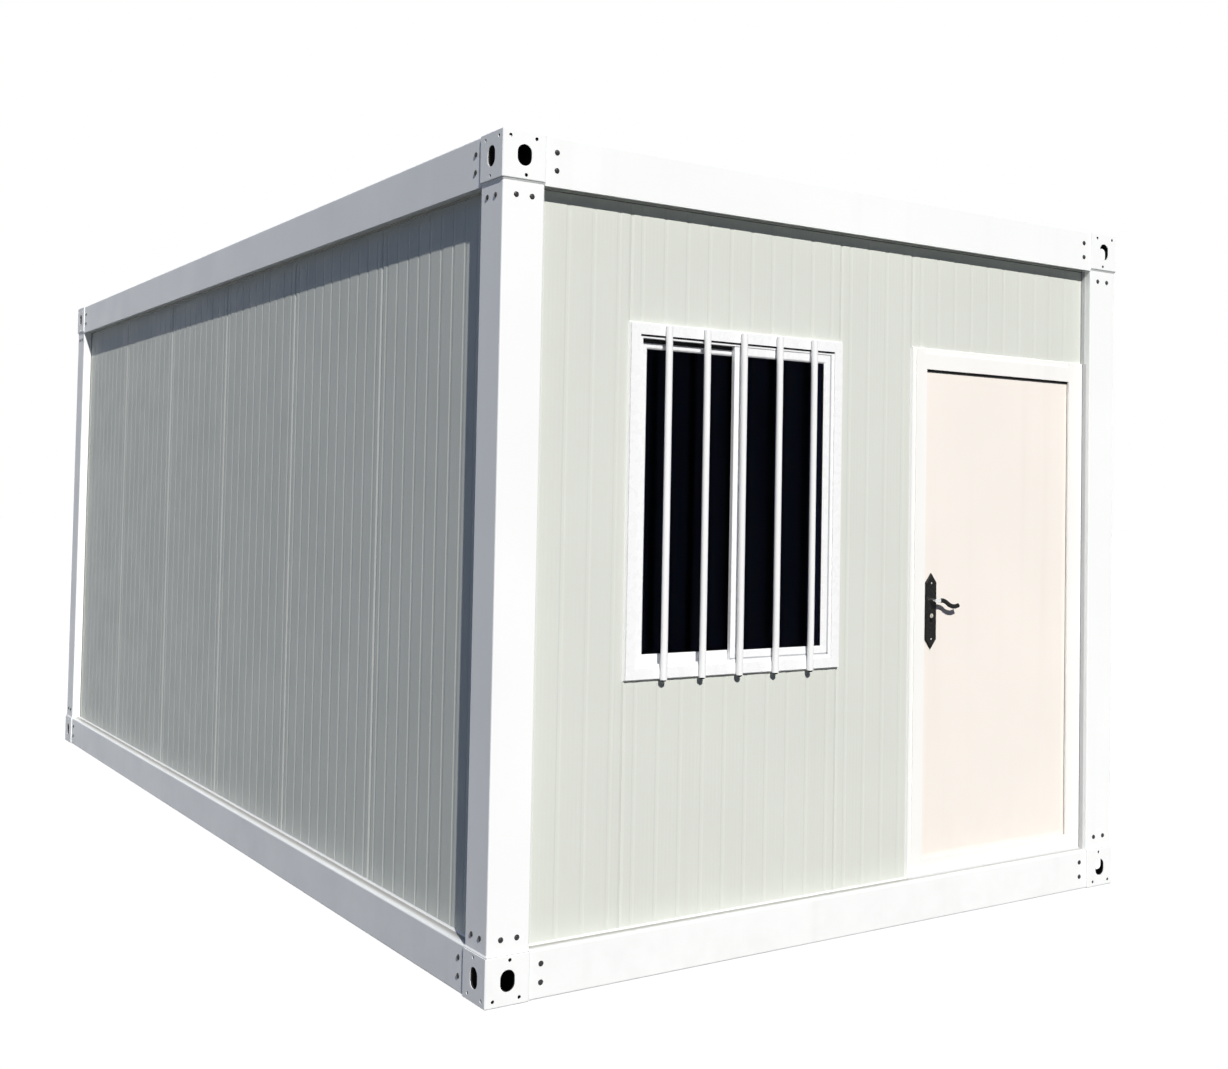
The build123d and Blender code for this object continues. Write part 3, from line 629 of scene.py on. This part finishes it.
class HOUSE_OT_frame(Operator):
    """Enamel the posts, beams and corner fittings and bolt them together"""

    bl_idname = "house.frame"
    bl_label = "Steel frame"

    def execute(self, context):
        chosen = settings(context).frame
        enamel, fitting = self.enamels(chosen)
        beams = [f"{level}_{side}_beam" for level in ("bottom", "top") for side in SIDES]
        posts = ["front_left_post", "front_right_post", "rear_left_post", "rear_right_post"]
        dress(enamel, *posts, *beams)
        dress(fitting, "bottom_corner_fittings", "top_corner_fittings")
        self.fillets(chosen, enamel)
        self.bolts(chosen)
        return {"FINISHED"}

    def enamels(self, chosen):
        """Enamel with dust and painted shade on the ledges, and fitting enamel with painted shade inside."""
        paint = (chosen.paint, chosen.gloss, chosen.grime, chosen.grime_height)
        ledge = (*halves("right_wall_panels", "rear_wall_panels"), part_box("right_wall_panels")[0].z)
        enamel = coated_steel("frame_enamel", *paint, ledge=ledge)
        low, high = np.array(CAD_BOX)
        middle = (low + high) / 2
        seam = np.array([*halves("top_front_beam", "top_left_beam"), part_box("top_front_beam")[0].z])
        depth = chosen.bare_and_shade_depth
        hollow = (seam - middle + depth, high - middle - depth, middle, chosen.bare_and_shade)
        return enamel, coated_steel("fitting_enamel_shaded_inside", *paint, hollow=hollow)

    def fillets(self, chosen, enamel):
        """Three-cornered fillets of paint where the posts' outer faces meet the fittings."""
        off, along = chosen.fillet
        low, high = corners_of("front_left_post")
        (outer_x, outer_y, _), (inner_x, inner_y, _) = np.abs(low), np.abs(high)
        runs = []
        for x, y, (level, away) in itertools.product((-1, 1), (-1, 1), ((low[2], 1), (high[2], -1))):
            corner = (x * outer_x, y * outer_y, level)
            runs.append((corner, (x * inner_x, y * outer_y, level), (0, y, 0), (0, 0, away)))
            runs.append((corner, (x * outer_x, y * inner_y, level), (x, 0, 0), (0, 0, away)))
        add_rods("seam_fillets", runs, [(0.0, 0.0), (off, 0.0), (0.0, along)], enamel)

    def bolts(self, chosen):
        """Domed hexagon heads on washers, two on each end of a beam and on each face of a post's ends."""
        (_, _, foot), (half_x, half_y, top) = CAD_BOX
        post_low, post_high = corners_of("front_left_post")
        beam_seam, post_seam = chosen.bolt_seams
        levels, edges = np.array(chosen.beam_bolt_levels), np.array(chosen.post_bolt_edges)
        beam_z = np.concatenate([foot + levels, top - levels])
        post_z = np.array([post_low[2] + post_seam, post_high[2] - post_seam])
        places, facing = [], []
        beam_x, beam_y = halves("top_front_beam", "top_left_beam")
        face_x, face_y = halves("top_right_beam", "top_rear_beam")
        for normal, half, beam, face in ((REAR, half_x, beam_x, face_y), (RIGHT, half_y, beam_y, face_x)):
            ends = np.concatenate([half - edges, edges - half])
            for along, rows in ((BOTH_SIGNS * (beam - beam_seam), beam_z), (ends, post_z)):
                spots = lattice(along, BOTH_SIGNS * face, rows)
                places.append(spots if normal[1] else spots[:, [1, 0, 2]])
                facing.append(np.sign(places[-1]) * normal)
        (head, tall), (washer, thin) = chosen.bolt_size, chosen.washer_size
        crown, shoulder, rim, bevel = tall * 0.62, tall * 0.5, washer * 0.93, thin * 0.6
        cap = dome(head * 1.05, crown, 6)[:-1] + [0.0, tall - crown]
        side = [(head, shoulder), (head, thin), (rim, thin), (washer, bevel), (washer, 0.0), (0.0, 0.0)]
        bolt = lathe(np.concatenate([cap, side]), 24, [0.0] * len(cap) + [1.0] * 2 + [0.0] * 4)
        steel = worn_metal("bolt_steel", chosen.bolt, 0.32, chosen.tarnish, 0.25, 0.25)
        grids = stand_on(bolt, np.concatenate(places), np.concatenate(facing))
        add_piece("frame_bolts", grids, True, False, steel, smooth=50.0)


class HOUSE_OT_walls(Operator):
    """Coat the sandwich panels, seal them and fill their joints with dark filler and grey strips, partly
    painted shade
    """

    bl_idname = "house.walls"
    bl_label = "Wall panels"

    def execute(self, context):
        chosen = settings(context).wall
        skin = coated_steel(
            "panel_skin", chosen.skin, chosen.gloss, chosen.grime, chosen.grime_height, chosen.line_pitch,
            specular=chosen.shine,
        )
        dress(
            skin, "left_wall_panels", "right_wall_panels", "rear_wall_panels", "front_left_panel",
            "window_apron_panel", "window_head_panel", "front_middle_panel", "door_head_panel",
        )
        self.sealant(chosen)
        self.joints(chosen)
        return {"FINISHED"}

    def sealant(self, chosen):
        """Three-cornered beads where the panels stand on the beams, slightly hollow on their face."""
        leg, inside = chosen.sealant_size
        hollow = leg * chosen.sealant_hollow
        profile = [(0.0, 0.0), (leg, 0.0), (hollow, hollow), (0.0, leg)]
        face_x, _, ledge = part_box("left_wall_panels")[0]
        face_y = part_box("front_left_panel")[0].y
        end_x, end_y = halves("bottom_front_beam", "bottom_left_beam")
        door_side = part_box("door_left_jamb")[0].x
        runs = [
            ((-end_x, face_y, ledge), (door_side, face_y, ledge), -REAR, UP),
            ((end_x, -face_y, ledge), (-end_x, -face_y, ledge), REAR, UP),
            ((face_x, end_y, ledge), (face_x, -end_y, ledge), -RIGHT, UP),
            ((-face_x, -end_y, ledge), (-face_x, end_y, ledge), RIGHT, UP),
        ]
        bead = moulded_plastic("sealant_bead", chosen.sealant, 0.55)
        add_rods("panel_sealant", runs, profile, bead)
        sunk = np.array(profile) - np.outer([1.0, 0.5, 0.0, 0.0], [0.0, inside])
        self.frame_sealant(sunk, face_y, ledge, bead)

    def frame_sealant(self, profile, face_y, ledge, bead):
        """The same bead, reaching in, round the window frame, up the door frame and along its head."""
        low, high = corners_of("window_frame")
        low[1] = high[1] = face_y
        grids = upright_rings(low[None], high[None], -profile, [1.0])
        add_piece("window_sealant", grids, True, True, bead)
        low, high = corners_of("door_left_jamb")
        end_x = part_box("door_right_jamb")[1].x
        corner = (low[0], face_y, high[2])
        runs = [
            ((low[0], face_y, ledge), corner, -RIGHT, -REAR), (corner, (end_x, face_y, high[2]), UP, -REAR)
        ]
        add_rods("door_sealant", runs, profile, bead)

    def joints(self, chosen):
        """Dark joints up the posts and along the top beams, and grey strips beside and under the door: filler
        partly real and partly painted shade in these corners.
        """
        leg = chosen.joint_leg
        profile = [(0.0, 0.0), (leg, 0.0), (0.0, leg)]
        wall_x, wall_y = halves("right_wall_panels", "rear_wall_panels")
        post_x, post_y = halves("top_front_beam", "top_left_beam")
        foot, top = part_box("rear_wall_panels")[0].z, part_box("top_front_beam")[0].z
        (jamb_x, door_y, _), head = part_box("door_left_jamb")[0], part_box("door_right_jamb")[1].z
        runs = []
        for x, y in itertools.product((-1, 1), (-1, 1)):
            across, out = (-x, 0, 0), (0, y, 0)
            if (x, y) != (1, -1):  # the last two runs take the post beside the door
                runs.append(((x * post_x, y * wall_y, foot), (x * post_x, y * wall_y, top), across, out))
            across, out = (0, -y, 0), (x, 0, 0)
            runs.append(((x * wall_x, y * post_y, foot), (x * wall_x, y * post_y, top), across, out))
        for side in (-1, 1):
            x, y, down = side * wall_x, side * wall_y, (0, 0, -1)
            runs.append(((-post_x, y, top), (post_x, y, top), (0, side, 0), down))
            runs.append(((x, -post_y, top), (x, post_y, top), (side, 0, 0), down))
        runs += [
            ((post_x, -wall_y, head), (post_x, -wall_y, top), (-1, 0, 0), (0, -1, 0)),
            ((post_x, door_y, foot), (post_x, door_y, head), (-1, 0, 0), (0, -1, 0)),
        ]
        # Painted shade: the dark filler stands in for shadow gaps by the posts and under the top beams.
        dark = moulded_plastic("joint_filler_shade", chosen.joint_shade, 0.6)
        add_rods("panel_shade_joints", runs, profile, dark)
        # Painted shade: grey strips in the post's reveal beside the door and a grey bead at the door's foot
        # darken these corners.
        thin, wide = chosen.trim_size
        strip = [(0.0, 0.0), (thin, 0.0), (thin, wide), (0.0, wide)]
        face, hollow = leg * 1.5, leg * 0.7
        bead = [(0.0, 0.0), (face, 0.0), (hollow, hollow), (0.0, face)]
        sill = ((jamb_x, door_y, foot), (post_x, door_y, foot), -REAR, UP)
        grids = np.concatenate([rods(runs[-2:], strip), rods([sill], bead)])
        grey = moulded_plastic("corner_trim_shade_grey", chosen.trim_shade, 0.5)
        add_piece("corner_shade_trim", grids, False, True, grey)


class HOUSE_OT_window(Operator):
    """Finish the sliding window, glaze it and fix its bars"""

    bl_idname = "house.window"
    bl_label = "Window"

    def execute(self, context):
        chosen = settings(context).window
        plastic = moulded_plastic("window_plastic", chosen.plastic, 0.28)
        rubber = moulded_plastic("rubber", chosen.rubber, 0.62, 0.3, 0.12)
        enamel = coated_steel("bar_enamel", chosen.bar_paint, 0.30, chosen.bar_dust, 0.3)
        dress(plastic, "window_frame", "window_left_sash", "window_right_sash")
        dress(window_glass("window_glass", chosen.glass), "window_glass")
        dress(enamel, "window_bars")
        self.glazing(chosen, plastic, rubber)
        self.strips(chosen, rubber)
        self.bar_ends(chosen, enamel, rubber)
        return {"FINISHED"}

    def glazing(self, chosen, plastic, rubber):
        """Sloping beads and thin rubbers round both faces of both panes."""
        stile, rail = chosen.margin
        margin = np.array([stile, 0.0, rail])
        low, high = np.stack(
            [corners_of(name) for name in ("window_left_sash", "window_right_sash")], axis=1
        )
        outer_low, outer_high = low + margin, high - margin
        inner_low = np.where([0, 1, 0], high, outer_low)
        lows = np.concatenate([outer_low, inner_low])
        highs = np.concatenate([outer_high, outer_high])
        inwards = np.repeat([1.0, -1.0], 2)
        width, thin, deep = chosen.bead
        bead = [(0.0, 0.0008), (0.0015, 0.0), (width, deep * 0.62), (width, deep), (0.0, deep)]
        seal = [
            (width, deep * 0.60), (width + thin * 0.6, deep * 0.72), (width + thin, deep * 0.97),
            (width, deep),
        ]
        for name, profile, finish in (("glazing_beads", bead, plastic), ("glazing_rubbers", seal, rubber)):
            grids = upright_rings(lows, highs, profile, inwards)
            add_piece(name, grids, True, True, finish)

    def strips(self, chosen, rubber):
        """Flat strips: black painted shade under the frame's step and over the rear sash, grey seals by the
        front sash.
        """
        rear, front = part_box("window_left_sash"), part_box("window_right_sash")
        side, foot, head = chosen.rebate
        step, lip = chosen.step
        left, right = rear[0].x + side, front[1].x - side
        sill, lintel = front[0].z + foot, front[1].z - head
        face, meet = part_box("window_frame")[0].y + step, front[0].x
        step_shade_strip, rear_shade_brush, foot_seal, side_seal = chosen.shade_strip_and_seal_widths
        runs = [
            ((left - lip, face, lintel + lip), (right + lip, face, lintel + lip), -REAR, -step_shade_strip * UP),
            ((left, rear[0].y, lintel), (meet, rear[0].y, lintel), -REAR, -rear_shade_brush * UP),
            ((meet, front[0].y, sill), (right, front[0].y, sill), -REAR, foot_seal * UP),
            ((right, front[0].y, sill), (right, front[0].y, lintel), -REAR, -side_seal * RIGHT),
        ]
        out, back = chosen.strip_depth
        profile = [(-back, 0.0), (out, 0.0), (out, 1.0), (-back, 1.0)]
        grey = moulded_plastic("sash_seal_grey", chosen.seal, 0.6)
        # Painted shade: the first two runs are black strips that darken the band under the step and the rear
        # sash's rail.
        add_rods("window_shade_strips", runs[:2], profile, rubber)
        add_rods("sash_seals", runs[2:], profile, grey)

    def bar_ends(self, chosen, enamel, rubber):
        """Domed plugs in the ends of the bars, painted at the head and black rubber at the foot, the feet
        also a painted shadow under the bars.
        """
        low, high = corners_of("window_bars")
        radius = (high[1] - low[1]) / 2
        bore = radius * chosen.plug_share
        head_rise, foot_rise, inside = chosen.plug_depth
        bars = np.linspace(low[0] + radius, high[0] - radius, chosen.bar_count)
        # Painted shadow: the black feet darken the spots where the bars' shadows fall below the frame.
        for name, level, facing, rise, finish in (
            ("bar_plugs", high[2], UP, head_rise, enamel), ("bar_feet_and_shadow", low[2], -UP, foot_rise, rubber)
        ):
            plug = np.concatenate([dome(bore, rise), [(bore, -inside), (0.0, -inside)]])
            places = lattice(bars, [low[1] + radius], [level])
            add_piece(name, stand_on(lathe(plug, 20), places, facing), True, False, finish)


class HOUSE_OT_door(Operator):
    """Finish the door, its frame, seal, handles and lock"""

    bl_idname = "house.door"
    bl_label = "Door"

    def execute(self, context):
        chosen = settings(context).door
        jamb = coated_steel("door_frame_paint", chosen.jamb, 0.34, chosen.jamb_dust, chosen.dust_height)
        leaf = coated_steel("door_leaf_coating", chosen.leaf, 0.36, chosen.leaf_dust, chosen.dust_height)
        iron = worn_metal("handle_iron", chosen.iron, 0.42, chosen.iron_tarnish, 0.15, 0.12)
        steel = worn_metal("hinge_steel", chosen.steel, 0.36, chosen.steel_tarnish)
        low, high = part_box("lock_cylinder")
        spindle = (low.x + high.x) / 2
        brass = lock_finish("lock_metal", chosen.brass, chosen.iron, high.z - (high.x - low.x))
        lever = lever_finish("lever_metal", chosen.nickel, chosen.iron, spindle, chosen.neck_reach)
        dress(jamb, "door_left_jamb", "door_right_jamb", "door_head", "door_threshold")
        dress(leaf, "door_leaf")
        dress(iron, "door_handle_plates")
        dress(brass, "lock_cylinder")
        dress(steel, "door_frame_hinges", "door_leaf_hinges")
        dress(lever, "outer_lever", "inner_lever")
        self.seal(chosen)
        self.fixings(chosen, spindle, steel)
        self.latch(chosen, steel)
        return {"FINISHED"}

    def seal(self, chosen):
        """Bulb of rubber round the stop, just touching the closed leaf, and a black strip under the head as a
        painted shadow on the leaf.
        """
        low, high = corners_of("door_leaf")
        inset, radius = chosen.seal
        turn = np.linspace(0.0, 2 * math.pi, 12, endpoint=False)
        bulb = np.stack([inset + radius * np.cos(turn), radius * np.sin(turn) - radius], axis=-1)
        rubber = moulded_plastic("door_seal_rubber", settings(bpy.context).window.rubber, 0.6, 0.3, 0.12)
        grids = upright_rings(low[None], high[None], bulb, [1.0])
        add_piece("door_seal", grids, True, True, rubber)
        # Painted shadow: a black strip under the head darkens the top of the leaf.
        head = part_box("door_head")[0].z
        start = (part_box("door_left_jamb")[1].x, low[1], head)
        end = (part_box("door_right_jamb")[0].x, low[1], head)
        (drop, above), (back, front, edge) = chosen.strip, chosen.strip_faces
        strip = [
            (-front, above), (-front, edge - drop), (edge - front, -drop), (-edge - back, -drop),
            (-back, edge - drop), (-back, above),
        ]
        add_rods("door_head_shade_strip", [(start, end, REAR, UP)], strip, rubber)

    def fixings(self, chosen, spindle, steel):
        """Screws in the handle plates and, in each end of the lock cylinder, a key slot drawn as a black
        sheet of painted shade.
        """
        low, high = corners_of("door_handle_plates")
        levels = [low[2] + chosen.screw_inset, high[2] - chosen.screw_inset]
        places = lattice([spindle], [low[1], high[1]], levels)
        facing = np.where(places[:, 1:2] > (low[1] + high[1]) / 2, 1.0, -1.0) * REAR
        radius, rise, inside = chosen.screw
        head = np.concatenate([dome(radius, rise), [(radius, -inside), (0.0, -inside)]])
        grids = stand_on(lathe(head, 16), places, facing)
        add_piece("plate_screws", grids, True, False, steel, DOOR)
        low, high = corners_of("lock_cylinder")
        barrel = high[2] - (high[0] - low[0]) / 2
        tall, wide, deep = chosen.key_slot
        profile = [(-wide, -deep), (wide, -deep), (wide, deep), (-wide, deep)]
        ends = lattice([spindle], [low[1], high[1]], [barrel])
        runs = [(end - tall * UP, end + tall * UP, RIGHT, REAR) for end in ends]
        dark = moulded_plastic("key_slot_shade", chosen.keyhole_shade, 0.7)
        add_rods("key_slots", runs, profile, dark, DOOR)

    def latch(self, chosen, steel):
        """Plate on the free edge of the leaf with a bevelled latch bolt."""
        low, high = corners_of("door_leaf")
        level = (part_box("outer_lever")[0].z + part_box("outer_lever")[1].z) / 2
        middle = np.array([low[0], (low[1] + high[1]) / 2, level])
        halves = (0.5, 0.5, 1.0)
        wide, tall, thin = np.array(chosen.faceplate) * halves
        bevel = thin * 0.6
        plate = [
            (-wide, 0.0), (wide, 0.0), (wide, bevel), (wide - thin, thin), (thin - wide, thin), (-wide, bevel)
        ]
        half, reach, proud = np.array(chosen.latch) * halves
        bolt = [(-half, 0.0), (half, 0.0), (half, thin * 1.2), (-half * 0.6, proud), (-half, proud)]
        for name, up, profile in (("latch_plate", tall * UP, plate), ("latch_bolt", reach * UP, bolt)):
            add_rods(name, [(middle - up, middle + up, REAR, -RIGHT)], profile, steel, DOOR)


class HOUSE_OT_roof_and_floor(Operator):
    """Finish the floor, ceiling and roof and cap the roof's seams"""

    bl_idname = "house.roof_and_floor"
    bl_label = "Roof and floor"

    def execute(self, context):
        chosen = settings(context).roof
        zinc = galvanised_steel("galvanised", chosen.zinc, chosen.gloss)
        dress(zinc, "roof_sheet", "roof_purlins", "floor_joists")
        dress(floor_vinyl("floor_vinyl", chosen.vinyl), "floor_board")
        dress(moulded_plastic("ceiling_sheet", chosen.ceiling, 0.45), "ceiling_panel")
        self.seam_caps(chosen, zinc)
        return {"FINISHED"}

    def seam_caps(self, chosen, zinc):
        """Folded caps over the standing seams: half an ellipse over two short upright legs."""
        end_gap, side_gap = chosen.cap_gaps
        end_x, end_y = halves("top_front_beam", "top_left_beam")
        along, last = (end_x - end_gap) * RIGHT, end_y - side_gap
        half, rise, leg = chosen.cap_size
        turn = np.linspace(0.0, math.pi, 9)
        profile = np.concatenate([
            [(half, -leg)], np.stack([half * np.cos(turn), rise * np.sin(turn)], axis=-1), [(-half, -leg)]
        ])
        places = lattice([0.0], np.linspace(-last, last, chosen.seam_count), [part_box("roof_sheet")[1].z])
        runs = [(place - along, place + along, REAR, UP) for place in places]
        add_rods("roof_seam_caps", runs, profile, zinc)


class HOUSE_OT_stage(Operator):
    """Lay the floor, hang the lights and set up the camera"""

    bl_idname = "house.stage"
    bl_label = "Stage"

    def execute(self, context):
        chosen = settings(context).stage
        self.floor(chosen)
        self.light(context, chosen)
        self.camera(context, chosen)
        context.scene.view_settings.view_transform = "Standard"
        return {"FINISHED"}

    def seen(self, tree):
        """1 for rays that show a surface directly, in a reflection or through glass, else 0."""
        path = add_node(tree, "ShaderNodeLightPath").outputs
        total = path["Is Camera Ray"]
        for name in ("Is Glossy Ray", "Is Transmission Ray"):
            step = add_node(tree, "ShaderNodeMath", {0: total, 1: path[name]}, operation="MAXIMUM")
            total = step.outputs[0]
        return total

    def show(self, tree, output, unseen, seen):
        """Give one shader to the rays that show a surface and another to the rest."""
        either = add_node(tree, "ShaderNodeMixShader", {0: self.seen(tree), 1: unseen, 2: seen})
        add_node(tree, output, {"Surface": either.outputs[0]})

    def floor(self, chosen):
        """Level floor: white where it is seen, with a soft shadow, and darker to the light it returns."""
        count = 9
        steps = np.linspace(-chosen.floor_size, chosen.floor_size, count)
        quads = grid_quads(count, count, False, False)
        mesh = bpy.data.meshes.new("floor")
        mesh.from_pydata(lattice(steps, steps, [0.0]), [], quads.tolist())
        material = bpy.data.materials.new("pale_floor")
        material.use_nodes = True
        tree = material.node_tree
        tree.nodes.clear()
        bounce, shadow = (
            add_node(tree, "ShaderNodeBsdfDiffuse", {"Color": (*tint, 1.0)}).outputs[0]
            for tint in (chosen.floor_bounce, chosen.floor_shadow)
        )
        glow = add_node(tree, "ShaderNodeEmission", {"Strength": chosen.floor_pale}).outputs[0]
        pale = add_node(tree, "ShaderNodeAddShader", {0: shadow, 1: glow}).outputs[0]
        self.show(tree, "ShaderNodeOutputMaterial", bounce, pale)
        mesh.materials.append(material)
        floor = place("floor", mesh)

    def light(self, context, chosen):
        """Key light from the front left, fill from behind and soft light from all round, on white."""
        for name, tint, power, softness, source in (
            ("key_light", chosen.sun_colour, chosen.sun_power, chosen.sun_softness, chosen.sun_from),
            ("fill_light", chosen.fill_colour, chosen.fill_power, chosen.fill_softness, chosen.fill_from),
        ):
            lamp = bpy.data.lights.new(name, "SUN")
            lamp.color, lamp.energy, lamp.angle = tint, power, softness
            place(name, lamp).rotation_euler = Vector(source).to_track_quat("Z", "Y").to_euler()
        world = bpy.data.worlds.new("studio")
        world.use_nodes = True
        tree = world.node_tree
        tree.nodes.clear()
        way = add_node(tree, "ShaderNodeTexCoord").outputs["Generated"]
        towards = add_node(tree, "ShaderNodeSeparateXYZ", {0: way}).outputs["Y"]
        front, behind = chosen.sky_range
        spread = {"Value": towards, "From Min": -1.0, "To Min": front, "To Max": behind}
        strength = add_node(tree, "ShaderNodeMapRange", spread).outputs[0]
        soft = {"Color": (*chosen.sky, 1.0), "Strength": strength}
        soft, white = (
            add_node(tree, "ShaderNodeBackground", inputs).outputs[0]
            for inputs in (soft, {"Color": (1.0, 1.0, 1.0, 1.0)})
        )
        self.show(tree, "ShaderNodeOutputWorld", soft, white)
        context.scene.world = world

    def camera(self, context, chosen):
        """Camera at the photograph's viewpoint."""
        lens = bpy.data.cameras.new("camera")
        lens.lens = chosen.lens
        lens.sensor_width = chosen.sensor
        lens.shift_x, lens.shift_y = chosen.shift
        lens.clip_end = chosen.sight
        viewer = place("camera", lens)
        viewer.location = chosen.camera_place
        viewer.rotation_euler = chosen.camera_turn
        context.scene.camera = viewer


class HOUSE_PT_house(Panel):
    """Operators of the house in the sidebar."""

    bl_idname = "HOUSE_PT_house"
    bl_label = "Container house"
    bl_space_type = "VIEW_3D"
    bl_region_type = "UI"
    bl_category = "House"

    def draw(self, context):
        for operator in OPERATORS:
            self.layout.operator(operator.bl_idname)


OPERATORS = (
    HOUSE_OT_frame, HOUSE_OT_walls, HOUSE_OT_window, HOUSE_OT_door, HOUSE_OT_roof_and_floor, HOUSE_OT_stage
)
CLASSES = (
    FrameSettings, WallSettings, WindowSettings, DoorSettings, RoofSettings, StageSettings, HouseSettings,
    *OPERATORS, HOUSE_PT_house,
)


def register():
    for cls in CLASSES:
        bpy.utils.register_class(cls)
    bpy.types.Scene.container_house = PointerProperty(type=HouseSettings)


def unregister():
    del bpy.types.Scene.container_house
    for cls in reversed(CLASSES):
        bpy.utils.unregister_class(cls)


def main():
    register()
    bpy.ops.house.frame()
    bpy.ops.house.walls()
    bpy.ops.house.window()
    bpy.ops.house.door()
    bpy.ops.house.roof_and_floor()
    bpy.ops.house.stage()


if __name__ == "__main__":
    main()
